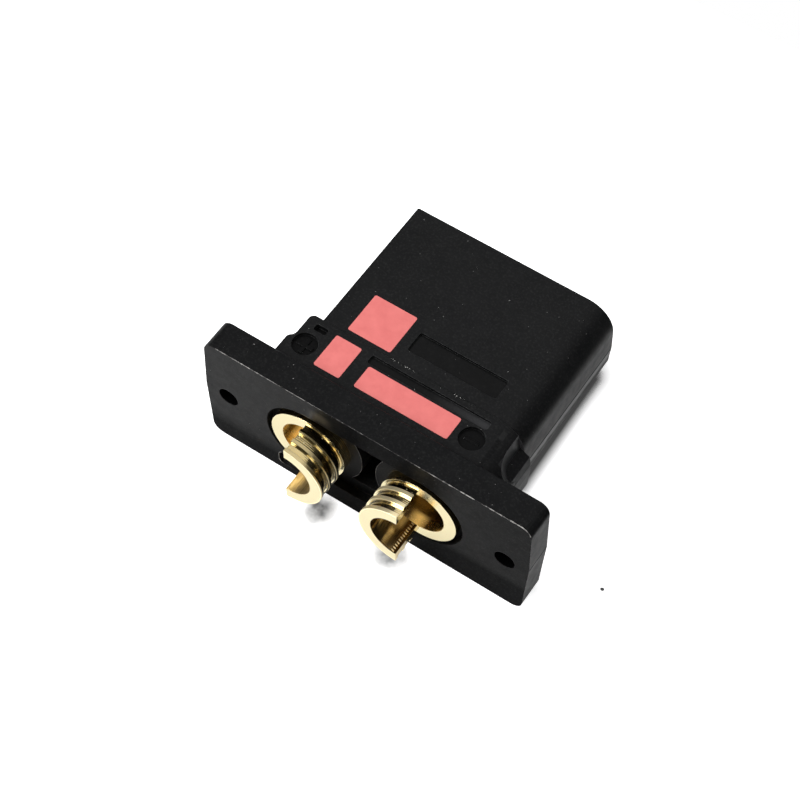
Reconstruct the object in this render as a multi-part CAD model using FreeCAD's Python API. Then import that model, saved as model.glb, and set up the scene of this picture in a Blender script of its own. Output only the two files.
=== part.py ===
import FreeCAD, Part
import math
import os

# Axes: X along the flange, +Y into the mating direction, +Z up.
# Origin: centre of the flange face that seats on the panel, midway between the screw holes.
# All sizes in millimetres.

# Flange plate
FLANGE_LENGTH = 52.5
FLANGE_HEIGHT = 21.7
FLANGE_THICKNESS = 4.6
FLANGE_CORNER_RADIUS = 1.7
FLANGE_PARTING_Z = 0.8
END_DRAFT_DEGREES = 2.2
FLANGE_REAR_CHAMFER = 0.16
SCREW_HOLE_SPACING = 45.0
SCREW_HOLE_DIAMETER = 3.2

# Contacts, one each side of the middle
CONTACT_PITCH = 18.0
CONTACT_RADIUS = 6.0
CUP_BORE_RADIUS = 4.1
CUP_RING_Y = -4.8
CUP_END_Y = -10.1
CUP_FLOOR_Y = 1.0
CUP_FLOOR_CONE = 1.6
CUP_LANDS = 3
CUP_LAND_WIDTH = 0.57
CUP_GROOVE_DEPTH = 0.5
SOCKET_RADIUS = 5.0
SOCKET_FLOOR_Y = 8.0
SOCKET_END_Y = 31.0
SOCKET_MOUTH_CHAMFER = 0.45

# Oblong opening in the solder side of the flange and the pocket between the contact walls
OPENING_RADIUS = 6.95
OPENING_DEPTH = 1.4
CONTACT_WALL_RADIUS = 7.9
POCKET_TOP_Z = 5.9
POCKET_BOTTOM_Z = -4.9
POCKET_END_Y = 29.0

# Shallow rounded recess below the positive contact
RELIEF_LEFT_X = -14.33
RELIEF_RIGHT_X = -7.6
RELIEF_BOTTOM_Z = -9.46
RELIEF_TOP_Z = -6.55
RELIEF_DEPTH = 0.45
RELIEF_CORNER = 0.9

# Mating body, square at the positive side and rounded at the negative side
BODY_LEFT_X = -16.58
BODY_RIGHT_X = 16.95
BODY_HALF_HEIGHT = 7.35
BODY_END_Y = 33.0
BODY_PARTING_Z = -0.8
BODY_DRAFT_DEGREES = 3.0
BODY_ROUND_RADIUS = 4.5
BODY_LOW_RADIUS = 3.8
BODY_SQUARE_RADIUS = 0.35
BODY_FRONT_CHAMFER = 0.12
MOUTH_RADIUS = 5.3
MOUTH_CHAMFER = 0.8

# Collar between the flange and the mating body
COLLAR_LEFT_X = -18.34
COLLAR_RIGHT_X = 18.06
COLLAR_HALF_HEIGHT = 7.62
COLLAR_END_Y = 9.25
COLLAR_ROUND_RADIUS = 6.0
COLLAR_LOW_RADIUS = 4.0
COLLAR_CORNER_RADIUS = 0.85
COLLAR_EDGE_CHAMFER = 0.12

# Stepped root at the square side of the collar
ROOT_OUTER_X = -18.65
ROOT_STRAIGHT_Y = 4.0
ROOT_END_Y = 5.5

# Scooped notch in the upper rounded corner, as long as the collar; the scoop widens upwards
NOTCH_SWEEP_Y = 6.65
NOTCH_LOW_X = 16.34
NOTCH_LOW_Z = 2.0
NOTCH_LOW_RADIUS = 1.65
NOTCH_HIGH_X = 15.3
NOTCH_HIGH_Z = 8.2
NOTCH_HIGH_RADIUS = 10.5
NOTCH_FLOOR_INNER = (14.5, 4.49)
NOTCH_FLOOR_OUTER = (17.65, 2.55)
NOTCH_BEVEL_END = (17.95, 1.05)

# Marks on the upper side: centre x, centre y
SIGN_RADIUS = 1.86
SIGN_DEPTH = 0.55
SIGN_CENTRES = ((-15.79, 4.5), (11.1, 4.58))
SLOT_BOX = (-16.3, -14.3, 7.12, 8.2)
SLOT_DEPTH = 0.8
SLOT_CORNER = 0.3
GROOVE_BOX = (-7.15, 12.05, 6.75, 8.2)
GROOVE_DEPTH = 0.45
GROOVE_CORNER = 0.35
PLATE_BOX = (-3.85, 10.35, 11.7, 15.15)
PLATE_DEPTH = 0.4
PLATE_CORNER = 0.35
PAD_SEAT_DEPTH = 0.2
PAD_STAND_UP = 0.04
PAD_CORNER = 0.3
PAD_SMALL_BOX = (-13.0, -8.8, 2.45, 8.15)
PAD_LONG_BOX = (-6.5, 8.4, 2.6, 6.4)
PAD_SQUARE_BOX = (-12.5, -5.5, 9.95, 16.85)

# Pre-charge parts in front of the positive socket
MAIN_SOCKET_END_Y = 27.8
INSULATOR_END_Y = 29.0
RESISTOR_OFFSET = 5.55
RESISTOR_RADIUS = 1.2
RESISTOR_START_Y = 17.4
RESISTOR_LENGTH = 6.6
LEAD_RADIUS = 0.3
LEAD_FRONT_Y = 30.0
LEAD_REAR_Y = 12.6

POSITIVE_X = -CONTACT_PITCH / 2
NEGATIVE_X = CONTACT_PITCH / 2
Y_AXIS = FreeCAD.Vector(0, 1, 0)
CLEAR = 1.0


def vec(x, y, z):
    return FreeCAD.Vector(x, y, z)


def disc_y(x, z, radius, y0, y1):
    return Part.makeCylinder(radius, y1 - y0, vec(x, y0, z), Y_AXIS)


def block(x0, x1, y0, y1, z0, z1):
    return Part.makeBox(x1 - x0, y1 - y0, z1 - z0, vec(x0, y0, z0))


def prism_along_y(outline, y0, y1):
    """outline: corner points (x, z)"""
    points = [vec(x, y0, z) for x, z in outline]
    wire = Part.makePolygon(points + [points[0]])
    return Part.Face(wire).extrude(vec(0, y1 - y0, 0))


def edges_along(shape, axis, test):
    """straight edges parallel to the axis whose middle point passes the test"""
    found = []
    for edge in shape.Edges:
        if not isinstance(edge.Curve, Part.Line):
            continue
        a, b = edge.Vertexes[0].Point, edge.Vertexes[-1].Point
        direction = b - a
        if direction.Length < 1e-6:
            continue
        direction.normalize()
        if abs(direction.dot(axis)) > 0.999 and test((a + b) * 0.5):
            found.append(edge)
    return found


def edges_at_y(shape, y):
    found = []
    for edge in shape.Edges:
        if all(abs(v.Point.y - y) < 1e-6 for v in edge.Vertexes):
            found.append(edge)
    return found


def round_box(box, corner, z0, z1):
    """box (x0, x1, y0, y1) with rounded upright corners"""
    shape = block(box[0], box[1], box[2], box[3], z0, z1)
    upright = edges_along(shape, vec(0, 0, 1), lambda p: True)
    return shape.makeFillet(corner, upright)


# Flange plate with drafted ends that meet at the parting line
def make_flange():
    half = FLANGE_LENGTH / 2
    top = FLANGE_HEIGHT / 2
    slope = math.tan(math.radians(END_DRAFT_DEGREES))
    top_x = half - (top - FLANGE_PARTING_Z) * slope
    low_x = half - (top + FLANGE_PARTING_Z) * slope
    outline = [(-half, FLANGE_PARTING_Z), (-top_x, top), (top_x, top)]
    outline += [(half, FLANGE_PARTING_Z), (low_x, -top), (-low_x, -top)]
    plate = prism_along_y(outline, -FLANGE_THICKNESS, 0.0)
    corners = edges_along(plate, Y_AXIS, lambda p: abs(p.z) > top - 0.1)
    plate = plate.makeFillet(FLANGE_CORNER_RADIUS, corners)
    plate = plate.makeChamfer(FLANGE_REAR_CHAMFER, edges_at_y(plate, 0.0))
    for side in (-1, 1):
        x = side * SCREW_HOLE_SPACING / 2
        hole = disc_y(x, 0, SCREW_HOLE_DIAMETER / 2, -FLANGE_THICKNESS - CLEAR, CLEAR)
        plate = plate.cut(hole)
    return plate


def draft_inset(z):
    """how far a drafted side stands in at the height z"""
    return abs(z - BODY_PARTING_Z) * math.tan(math.radians(BODY_DRAFT_DEGREES))


def drafted_outline(left, right, half_height):
    top = draft_inset(half_height)
    low = draft_inset(-half_height)
    outline = [(left, BODY_PARTING_Z), (left + top, half_height), (right - top, half_height)]
    outline += [(right, BODY_PARTING_Z), (right - low, -half_height), (left + low, -half_height)]
    return outline


def d_section(left, right, half_height, y0, y1, upper_radius, lower_radius):
    """bar with square corners at the positive side and rounded ones at the negative side"""
    bar = prism_along_y(drafted_outline(left, right, half_height), y0, y1)
    limit = half_height - 0.1
    bar = bar.makeFillet(upper_radius, edges_along(bar, Y_AXIS, lambda p: p.x > 0 and p.z > limit))
    return bar.makeFillet(lower_radius, edges_along(bar, Y_AXIS, lambda p: p.x > 0 and p.z < -limit))


def make_mating_body():
    body = d_section(BODY_LEFT_X, BODY_RIGHT_X, BODY_HALF_HEIGHT, -CLEAR, BODY_END_Y,
                     BODY_ROUND_RADIUS, BODY_LOW_RADIUS)
    square = edges_along(body, Y_AXIS, lambda p: p.x < 0 and abs(p.z) > BODY_HALF_HEIGHT - 0.1)
    body = body.makeFillet(BODY_SQUARE_RADIUS, square)
    return body.makeChamfer(BODY_FRONT_CHAMFER, edges_at_y(body, BODY_END_Y))


# Collar: same outline as the body but wider, with a stepped root
def make_root():
    inner_x = COLLAR_LEFT_X + draft_inset(COLLAR_HALF_HEIGHT)
    rise = inner_x - ROOT_OUTER_X
    run = ROOT_END_Y - ROOT_STRAIGHT_Y
    radius = (rise ** 2 + run ** 2) / (4 * rise)
    half_angle = math.asin(run / 2 / radius)
    mid = vec((ROOT_OUTER_X + inner_x) / 2, (ROOT_STRAIGHT_Y + ROOT_END_Y) / 2, 0)
    quarter = half_angle / 2
    first = vec(ROOT_OUTER_X + radius * (1 - math.cos(quarter)), ROOT_STRAIGHT_Y + radius * math.sin(quarter), 0)
    second = vec(inner_x - radius * (1 - math.cos(quarter)), ROOT_END_Y - radius * math.sin(quarter), 0)
    start = vec(ROOT_OUTER_X, ROOT_STRAIGHT_Y, 0)
    end = vec(inner_x, ROOT_END_Y, 0)
    back = vec(inner_x + 3.0, ROOT_END_Y, 0)
    back_low = vec(inner_x + 3.0, -CLEAR, 0)
    low = vec(ROOT_OUTER_X, -CLEAR, 0)
    edges = [Part.Arc(start, first, mid).toShape(), Part.Arc(mid, second, end).toShape()]
    edges += [Part.makeLine(end, back), Part.makeLine(back, back_low)]
    edges += [Part.makeLine(back_low, low), Part.makeLine(low, start)]
    face = Part.Face(Part.Wire(edges))
    root = face.extrude(vec(0, 0, 2 * COLLAR_HALF_HEIGHT))
    root.translate(vec(0, 0, -COLLAR_HALF_HEIGHT))
    return root


def notch_quarter(x, z, radius):
    """quarter disc outline from the wall at x round to the back of the scoop"""
    centre = vec(x + radius, NOTCH_SWEEP_Y, z)
    side = centre - vec(radius, 0, 0)
    back = centre - vec(0, radius, 0)
    middle = centre - vec(radius, radius, 0) * math.sqrt(0.5)
    arc = Part.Arc(side, middle, back).toShape()
    return Part.Wire([arc, Part.makeLine(back, centre), Part.makeLine(centre, side)])


def make_notch():
    """cutter: a scoop that widens upwards and ends with the collar, above a sloped floor"""
    reach = COLLAR_RIGHT_X + 2.0
    end_y = COLLAR_END_Y
    low = notch_quarter(NOTCH_LOW_X, NOTCH_LOW_Z, NOTCH_LOW_RADIUS)
    high = notch_quarter(NOTCH_HIGH_X, NOTCH_HIGH_Z, NOTCH_HIGH_RADIUS)
    scoop = Part.makeLoft([low, high], True, True)
    section = [(NOTCH_LOW_X, NOTCH_LOW_Z), (NOTCH_HIGH_X, NOTCH_HIGH_Z), (reach, NOTCH_HIGH_Z), (reach, NOTCH_LOW_Z)]
    runout = prism_along_y(section, NOTCH_SWEEP_Y, end_y)
    bevel_x, bevel_z = NOTCH_BEVEL_END
    bevel = block(NOTCH_FLOOR_OUTER[0], reach, NOTCH_SWEEP_Y - NOTCH_LOW_RADIUS, end_y, bevel_z, NOTCH_LOW_Z)
    above = [NOTCH_FLOOR_INNER, NOTCH_FLOOR_OUTER, NOTCH_BEVEL_END, (reach, bevel_z)]
    above += [(reach, NOTCH_HIGH_Z), (NOTCH_FLOOR_INNER[0], NOTCH_HIGH_Z)]
    return scoop.fuse(runout).fuse(bevel).common(prism_along_y(above, CLEAR, end_y))


def make_collar():
    collar = d_section(COLLAR_LEFT_X, COLLAR_RIGHT_X, COLLAR_HALF_HEIGHT, -CLEAR, COLLAR_END_Y,
                       COLLAR_ROUND_RADIUS, COLLAR_LOW_RADIUS)
    end_edges = edges_at_y(collar, COLLAR_END_Y)
    upright = [e for e in end_edges if all(v.Point.x < COLLAR_LEFT_X + 1.0 for v in e.Vertexes)]
    collar = collar.makeFillet(COLLAR_CORNER_RADIUS, upright)
    collar = collar.makeChamfer(COLLAR_EDGE_CHAMFER, edges_at_y(collar, COLLAR_END_Y))
    return collar.fuse(make_root())


# Openings of the moulding
def make_oblong():
    y0 = -FLANGE_THICKNESS - CLEAR
    y1 = -FLANGE_THICKNESS + OPENING_DEPTH
    shape = block(POSITIVE_X, NEGATIVE_X, y0, y1, -OPENING_RADIUS, OPENING_RADIUS)
    for x in (POSITIVE_X, NEGATIVE_X):
        shape = shape.fuse(disc_y(x, 0, OPENING_RADIUS, y0, y1))
    return shape.removeSplitter()


def make_pocket():
    y0 = -FLANGE_THICKNESS + OPENING_DEPTH - 0.01
    pocket = block(POSITIVE_X, NEGATIVE_X, y0, POCKET_END_Y, POCKET_BOTTOM_Z, POCKET_TOP_Z)
    for x in (POSITIVE_X, NEGATIVE_X):
        pocket = pocket.cut(disc_y(x, 0, CONTACT_WALL_RADIUS, y0 - CLEAR, POCKET_END_Y + CLEAR))
    return pocket


def make_socket_mouth(x):
    mouth = disc_y(x, 0, MOUTH_RADIUS, SOCKET_END_Y - 0.01, BODY_END_Y + CLEAR)
    wide = MOUTH_RADIUS + MOUTH_CHAMFER
    lead_in = Part.makeCone(MOUTH_RADIUS, wide, MOUTH_CHAMFER, vec(x, BODY_END_Y - MOUTH_CHAMFER, 0), Y_AXIS)
    return mouth.fuse(lead_in)


def make_relief():
    y0 = -FLANGE_THICKNESS - CLEAR
    y1 = -FLANGE_THICKNESS + RELIEF_DEPTH
    relief = block(RELIEF_LEFT_X, RELIEF_RIGHT_X, y0, y1, RELIEF_BOTTOM_Z, RELIEF_TOP_Z)
    return relief.makeFillet(RELIEF_CORNER, edges_along(relief, Y_AXIS, lambda p: True))


def top_recesses():
    collar_top = COLLAR_HALF_HEIGHT
    body_top = BODY_HALF_HEIGHT
    cuts = []
    for x, y in SIGN_CENTRES:
        cuts.append(Part.makeCylinder(SIGN_RADIUS, SIGN_DEPTH + CLEAR, vec(x, y, collar_top - SIGN_DEPTH)))
    cuts.append(round_box(SLOT_BOX, SLOT_CORNER, collar_top - SLOT_DEPTH, collar_top + CLEAR))
    cuts.append(round_box(GROOVE_BOX, GROOVE_CORNER, collar_top - GROOVE_DEPTH, collar_top + CLEAR))
    cuts.append(round_box(PLATE_BOX, PLATE_CORNER, body_top - PLATE_DEPTH, body_top + CLEAR))
    for box, top in ((PAD_SMALL_BOX, collar_top), (PAD_LONG_BOX, collar_top), (PAD_SQUARE_BOX, body_top)):
        cuts.append(round_box(box, PAD_CORNER, top - PAD_SEAT_DEPTH, top + CLEAR))
    return cuts


# Contacts turned from bar: solder cup, closed middle and plain socket
def make_contact(x, open_side, socket_end):
    """open_side: -1 or +1, the side in X that the solder cup is open to"""
    contact = disc_y(x, 0, CONTACT_RADIUS, CUP_END_Y, socket_end)
    pitch = (CUP_RING_Y - CUP_END_Y) / CUP_LANDS
    for index in range(CUP_LANDS):
        y0 = CUP_END_Y + index * pitch + CUP_LAND_WIDTH
        y1 = CUP_END_Y + (index + 1) * pitch
        ring = disc_y(x, 0, CONTACT_RADIUS + CLEAR, y0, y1)
        ring = ring.cut(disc_y(x, 0, CONTACT_RADIUS - CUP_GROOVE_DEPTH, y0 - CLEAR, y1 + CLEAR))
        contact = contact.cut(ring)
    cup = disc_y(x, 0, CUP_BORE_RADIUS, CUP_END_Y - CLEAR, CUP_FLOOR_Y)
    tip = Part.makeCone(CUP_BORE_RADIUS, 0.4, CUP_FLOOR_CONE, vec(x, CUP_FLOOR_Y, 0), Y_AXIS)
    contact = contact.cut(cup.fuse(tip))
    wide = CONTACT_RADIUS + CLEAR
    if open_side < 0:
        half = block(x - wide, x, CUP_END_Y - CLEAR, CUP_RING_Y, -wide, wide)
    else:
        half = block(x, x + wide, CUP_END_Y - CLEAR, CUP_RING_Y, -wide, wide)
    contact = contact.cut(half)
    socket = disc_y(x, 0, SOCKET_RADIUS, SOCKET_FLOOR_Y, socket_end + CLEAR)
    contact = contact.cut(socket)
    if socket_end > MAIN_SOCKET_END_Y + 0.1:
        contact = contact.cut(make_socket_chamfer(x, socket_end))
    return contact


def make_socket_chamfer(x, end_y):
    wide = SOCKET_RADIUS + SOCKET_MOUTH_CHAMFER
    return Part.makeCone(SOCKET_RADIUS, wide, SOCKET_MOUTH_CHAMFER, vec(x, end_y - SOCKET_MOUTH_CHAMFER, 0), Y_AXIS)


# Pre-charge ring, its insulating ring and the resistor with two leads
def make_ring(x, y0, y1, chamfer):
    ring = disc_y(x, 0, CONTACT_RADIUS, y0, y1)
    ring = ring.cut(disc_y(x, 0, SOCKET_RADIUS, y0 - CLEAR, y1 + CLEAR))
    if chamfer:
        ring = ring.cut(make_socket_chamfer(x, y1))
    return ring


def resistor_centre():
    return POSITIVE_X - RESISTOR_OFFSET, -RESISTOR_OFFSET


def make_resistor():
    x, z = resistor_centre()
    return disc_y(x, z, RESISTOR_RADIUS, RESISTOR_START_Y, RESISTOR_START_Y + RESISTOR_LENGTH)


def make_lead(from_y, to_y):
    """wire along Y, then square across to the outside of the contact"""
    x, z = resistor_centre()
    way = 1 if to_y > from_y else -1
    toward = vec(math.sqrt(0.5), 0, math.sqrt(0.5))
    corner = vec(x, to_y, z)
    straight = Part.makeCylinder(LEAD_RADIUS, abs(to_y - from_y) + LEAD_RADIUS, vec(x, from_y, z), Y_AXIS * way)
    across = Part.makeCylinder(LEAD_RADIUS, RESISTOR_OFFSET, corner - toward * LEAD_RADIUS, toward)
    lead = straight.fuse(across)
    return lead.cut(disc_y(POSITIVE_X, 0, CONTACT_RADIUS, CUP_FLOOR_Y, BODY_END_Y))


# Coloured mark fields let into the upper side
def make_pad(box, top):
    return round_box(box, PAD_CORNER, top - PAD_SEAT_DEPTH, top + PAD_STAND_UP)


def make_housing(embedded):
    housing = make_flange().fuse(make_mating_body()).fuse(make_collar())
    housing = housing.removeSplitter()
    housing = housing.cut(make_notch())
    housing = housing.cut(make_oblong())
    housing = housing.cut(make_pocket())
    housing = housing.cut(make_relief())
    start = -FLANGE_THICKNESS + OPENING_DEPTH - CLEAR
    for x in (POSITIVE_X, NEGATIVE_X):
        housing = housing.cut(disc_y(x, 0, CONTACT_RADIUS, start, SOCKET_END_Y))
        housing = housing.cut(make_socket_mouth(x))
    for cut in top_recesses():
        housing = housing.cut(cut)
    for piece in embedded:
        housing = housing.cut(piece)
    return housing


def export(name, shape):
    solids = shape.Solids
    if len(solids) != 1:
        raise ValueError("%s has %d solids" % (name, len(solids)))
    solids[0].exportStep("parts/%s.step" % name)


def main():
    os.makedirs("parts", exist_ok=True)
    resistor = make_resistor()
    resistor_end = RESISTOR_START_Y + RESISTOR_LENGTH
    lead_front = make_lead(resistor_end, LEAD_FRONT_Y)
    lead_rear = make_lead(RESISTOR_START_Y, LEAD_REAR_Y)
    export("housing", make_housing([resistor, lead_front, lead_rear]))
    export("contact_positive", make_contact(POSITIVE_X, -1, MAIN_SOCKET_END_Y))
    export("contact_negative", make_contact(NEGATIVE_X, 1, SOCKET_END_Y))
    export("ring_insulator", make_ring(POSITIVE_X, MAIN_SOCKET_END_Y, INSULATOR_END_Y, False))
    export("precharge_ring", make_ring(POSITIVE_X, INSULATOR_END_Y, SOCKET_END_Y, True))
    export("resistor", resistor)
    export("resistor_lead_front", lead_front)
    export("resistor_lead_rear", lead_rear)
    export("pad_small", make_pad(PAD_SMALL_BOX, COLLAR_HALF_HEIGHT))
    export("pad_long", make_pad(PAD_LONG_BOX, COLLAR_HALF_HEIGHT))
    export("pad_square", make_pad(PAD_SQUARE_BOX, BODY_HALF_HEIGHT))


main()
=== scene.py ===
import bpy
import bmesh
import math
import random
from collections import namedtuple
from mathutils import Matrix, Vector, noise


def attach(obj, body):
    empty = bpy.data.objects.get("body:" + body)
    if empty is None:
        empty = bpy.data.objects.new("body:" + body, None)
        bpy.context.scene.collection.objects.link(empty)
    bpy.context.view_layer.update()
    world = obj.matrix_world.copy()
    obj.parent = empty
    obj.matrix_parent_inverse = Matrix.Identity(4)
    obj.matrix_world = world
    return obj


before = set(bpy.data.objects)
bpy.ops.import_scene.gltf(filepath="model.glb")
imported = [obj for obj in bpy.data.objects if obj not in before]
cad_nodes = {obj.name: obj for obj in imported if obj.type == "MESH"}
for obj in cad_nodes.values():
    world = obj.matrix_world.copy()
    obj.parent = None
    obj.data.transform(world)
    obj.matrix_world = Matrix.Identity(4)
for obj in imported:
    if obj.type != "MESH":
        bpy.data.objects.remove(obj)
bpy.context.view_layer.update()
scene = bpy.context.scene

# Sizes in millimetres, as in the part's source. MM turns them into metres.
MM = 0.001
FLANGE_HALF = 26.25
FLANGE_TOP = 10.85
FLANGE_FRONT = -4.6
FLANGE_CORNER = 1.7
FLANGE_PARTING = 0.8
FLANGE_DRAFT = math.tan(math.radians(2.2))
SCREW_X = 22.5
SCREW_REACH = 1.7
COLLAR_TOP = 7.62
COLLAR_END = 9.25
BODY_TOP = 7.35
BODY_END = 33.0
BODY_LEFT = -16.58
BODY_PARTING = -0.8
BODY_STEP = 0.2
PLUS_CENTRE = (-15.79, 4.5)
MINUS_CENTRE = (11.1, 4.58)
SIGN_FLOOR = COLLAR_TOP - 0.55
RELIEF_LEFT = -14.33
RELIEF_LOW = -9.46
RELIEF_TOP = -6.55
RELIEF_CORNER = 0.9
WALL_RADIUS = 7.9
WALL_FACE = -3.2

# Recesses in the upper side, and the scooped notch at the collar's right corner
RECESS_LEVEL = 7.3
RECESS_DEEPEST = 6.7
RECESS_RIGHT = 13.0
BODY_RECESS_BACK = 2.2
GROOVE_NEAR = 6.9
GROOVE_FAR = 8.1
GROOVE_RIGHT = 11.5
NOTCH_LEFT = 13.0
NOTCH_NEAR = 3.9
NOTCH_LOW = 2.8
BODY_SIDE = 17.3

# Contacts: three lands and grooves of one pitch lie between the cup's end and the ring
CONTACT_X = 9.0
CUP_RING = -4.8
CUP_END = -10.1
CUP_PITCH = (CUP_RING - CUP_END) / 3
LAND_WIDTH = 0.57
LAND_FRONT = 0.22
GROOVE_RADIUS = 5.5
BORE_RADIUS = 4.1
TURNING_PITCH = 0.26
CUT_TOOTH_PITCH = 0.44

# Looks. A face counts as facing a way when that part of its normal is above SQUARE_ON.
PLASTIC_IOR = 1.22
SQUARE_ON = 0.9
GLARE_X = -6.9
GLARE_Z = 8.1
UPPER_FLANGE = 10.0
DULLING_X = (-20.0, 26.0)
LOW_STRIP_Z = (-4.0, -8.0)
DULL_SPOT_X = (-3.0, 9.0)
DULL_SPOT_Z = (5.5, 7.0)
DISH_FAR = 6.6
SLOT_RIGHT = -14.0
SLOT_Y = (GROOVE_NEAR, 8.3)
SLOT_Z = (5.0, 7.4)
FLOOR_GLOW = 0.95
FLOOR_SIDE_GLOW = 0.34
FLOOR_FRONT_GLOW = 0.10
FLOOR_WHITE = (0.93, 0.93, 0.93, 1)
CONTACT_SHADE_REACH = 3.0
FAR_RIGHT = 26.0
NEAR_RIGHT = 36.0
SKY_LEVEL = 0.08

# Camera as fitted to the photo
CAMERA_PLACE = (0.07294, -0.11021, 0.22174)
CAMERA_RIGHT = Vector((0.83121, 0.55580, 0.01376))
CAMERA_DOWN = Vector((0.47559, -0.69799, -0.53539))
CAMERA_LENS = 85.47
SENSOR_WIDTH = 36.0

# The part rests on the flange's lower rear edge and the body's lower end edge: (y, z) of both
REST_NEAR = (-0.16, -10.85)
REST_FAR = (32.88, -7.35)
TABLE_SIDE = 400.0
TABLE_NEAR = -500.0
TABLE_FAR = 98.0


# Shader helpers
def put(tree, kind, inputs=None, **settings):
    """Adds a node. inputs: socket name or index -> constant or output socket."""
    made = tree.nodes.new(kind)
    for key, value in settings.items():
        setattr(made, key, value)
    for key, value in (inputs or {}).items():
        set_input(tree, made, key, value)
    return made


def set_input(tree, node, key, value):
    if isinstance(value, bpy.types.NodeSocket):
        tree.links.new(value, node.inputs[key])
    else:
        node.inputs[key].default_value = value


def calc(tree, operation, a, b=0.0):
    return put(tree, "ShaderNodeMath", {0: a, 1: b}, operation=operation).outputs[0]


def ramp(tree, value, low, high, to_low=0.0, to_high=1.0):
    made = put(tree, "ShaderNodeMapRange", {"Value": value, "From Min": low, "From Max": high,
                                            "To Min": to_low, "To Max": to_high})
    made.clamp = True
    return made.outputs["Result"]


def blend_colour(tree, factor, a, b):
    return put(tree, "ShaderNodeMix", {0: factor, 6: a, 7: b}, data_type="RGBA").outputs[2]


def tint(tree, base, mask, amount, colour):
    """The base colour, moved toward the other colour by the amount where the mask is 1"""
    return blend_colour(tree, calc(tree, "MULTIPLY", mask, amount), base, colour)


def grain(tree, place, scale, detail=2.0, roughness=0.5):
    made = put(tree, "ShaderNodeTexNoise", {"Vector": place, "Scale": scale, "Detail": detail,
                                            "Roughness": roughness})
    return made.outputs["Fac"]


def bump(tree, height, distance, strength=1.0, normal=None):
    inputs = {"Height": height, "Distance": distance, "Strength": strength}
    if normal is not None:
        inputs["Normal"] = normal
    return put(tree, "ShaderNodeBump", inputs).outputs["Normal"]


def specks(tree, place, scale, edge, core, share):
    """1 on small round specks, in the share of the cells whose random number is above the given one"""
    cell = put(tree, "ShaderNodeTexVoronoi", {"Vector": place, "Scale": scale}, feature="F1")
    pick = put(tree, "ShaderNodeSeparateColor", {"Color": cell.outputs["Color"]}).outputs[0]
    return calc(tree, "MULTIPLY", ramp(tree, cell.outputs["Distance"], edge, core),
                calc(tree, "GREATER_THAN", pick, share))


def start_material(name):
    material = bpy.data.materials.new(name)
    material.use_nodes = True
    tree = material.node_tree
    surface = tree.nodes["Principled BSDF"]
    place = put(tree, "ShaderNodeTexCoord").outputs["Object"]
    return material, tree, surface, place


def soft_edge(tree, radius, low, high):
    """Returns the rounded normal and a mask that is 1 on edges."""
    rounded = put(tree, "ShaderNodeBevel", {"Radius": radius}, samples=6).outputs["Normal"]
    flat = put(tree, "ShaderNodeNewGeometry").outputs["Normal"]
    dot = put(tree, "ShaderNodeVectorMath", {0: rounded, 1: flat}, operation="DOT_PRODUCT")
    bent = calc(tree, "SUBTRACT", 1.0, dot.outputs["Value"])
    return rounded, ramp(tree, bent, low, high)


# Masks from the shaded point's place. Positions in metres, limits in millimetres.
Spot = namedtuple("Spot", "x y z facing_x facing_y facing_z")


def locate(tree, place):
    """Place of the shaded point, and the direction that it faces"""
    normal = put(tree, "ShaderNodeNewGeometry").outputs["Normal"]
    place_parts = put(tree, "ShaderNodeSeparateXYZ", {"Vector": place}).outputs
    facing_parts = put(tree, "ShaderNodeSeparateXYZ", {"Vector": normal}).outputs
    return Spot(*place_parts, *facing_parts)


def both(tree, *masks):
    """Product of masks"""
    product = masks[0]
    for mask in masks[1:]:
        product = calc(tree, "MULTIPLY", product, mask)
    return product


def any_of(tree, *masks):
    """Highest of masks"""
    highest = masks[0]
    for mask in masks[1:]:
        highest = calc(tree, "MAXIMUM", highest, mask)
    return highest


def weighted(tree, start, *pairs):
    """start plus each mask times its weight"""
    total = start
    for mask, weight in pairs:
        total = calc(tree, "ADD", total, calc(tree, "MULTIPLY", mask, weight))
    return total


def inverse(tree, mask):
    return calc(tree, "SUBTRACT", 1.0, mask)


def above(tree, value, limit):
    return calc(tree, "GREATER_THAN", value, limit * MM)


def below(tree, value, limit):
    return calc(tree, "LESS_THAN", value, limit * MM)


def slope(tree, value, low, high, to_low=0.0, to_high=1.0):
    """Ramp between two positions"""
    return ramp(tree, value, low * MM, high * MM, to_low, to_high)


def within(tree, value, low, high, fade):
    """1 between low and high, falling to 0 over the fade"""
    rise = slope(tree, value, low - fade, low)
    fall = slope(tree, value, high, high + fade, 1.0, 0.0)
    return calc(tree, "MULTIPLY", rise, fall)


# Black moulded plastic: fine spark-eroded grain, scuffed edges with painted highlights, smooth floors in the
# recesses darkened with painted shade
def recess_floor_shade(tree, at):
    """1 on the floors of the recesses in the upper side, which get painted shade; less at the right end of
    the groove
    """
    on_body = above(tree, at.y, COLLAR_END)
    level = calc(tree, "SUBTRACT", RECESS_LEVEL * MM, calc(tree, "MULTIPLY", on_body, BODY_STEP * MM))
    right_end = calc(tree, "SUBTRACT", RECESS_RIGHT * MM,
                     calc(tree, "MULTIPLY", on_body, BODY_RECESS_BACK * MM))
    in_groove = both(tree, above(tree, at.y, GROOVE_NEAR - 0.2), below(tree, at.y, GROOVE_FAR + 0.2))
    lit_end = both(tree, in_groove, slope(tree, at.x, 2.0, GROOVE_RIGHT))
    return both(tree, calc(tree, "LESS_THAN", at.z, level), above(tree, at.z, RECESS_DEEPEST),
                calc(tree, "GREATER_THAN", at.facing_z, SQUARE_ON), calc(tree, "LESS_THAN", at.x, right_end),
                inverse(tree, lit_end))


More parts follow.
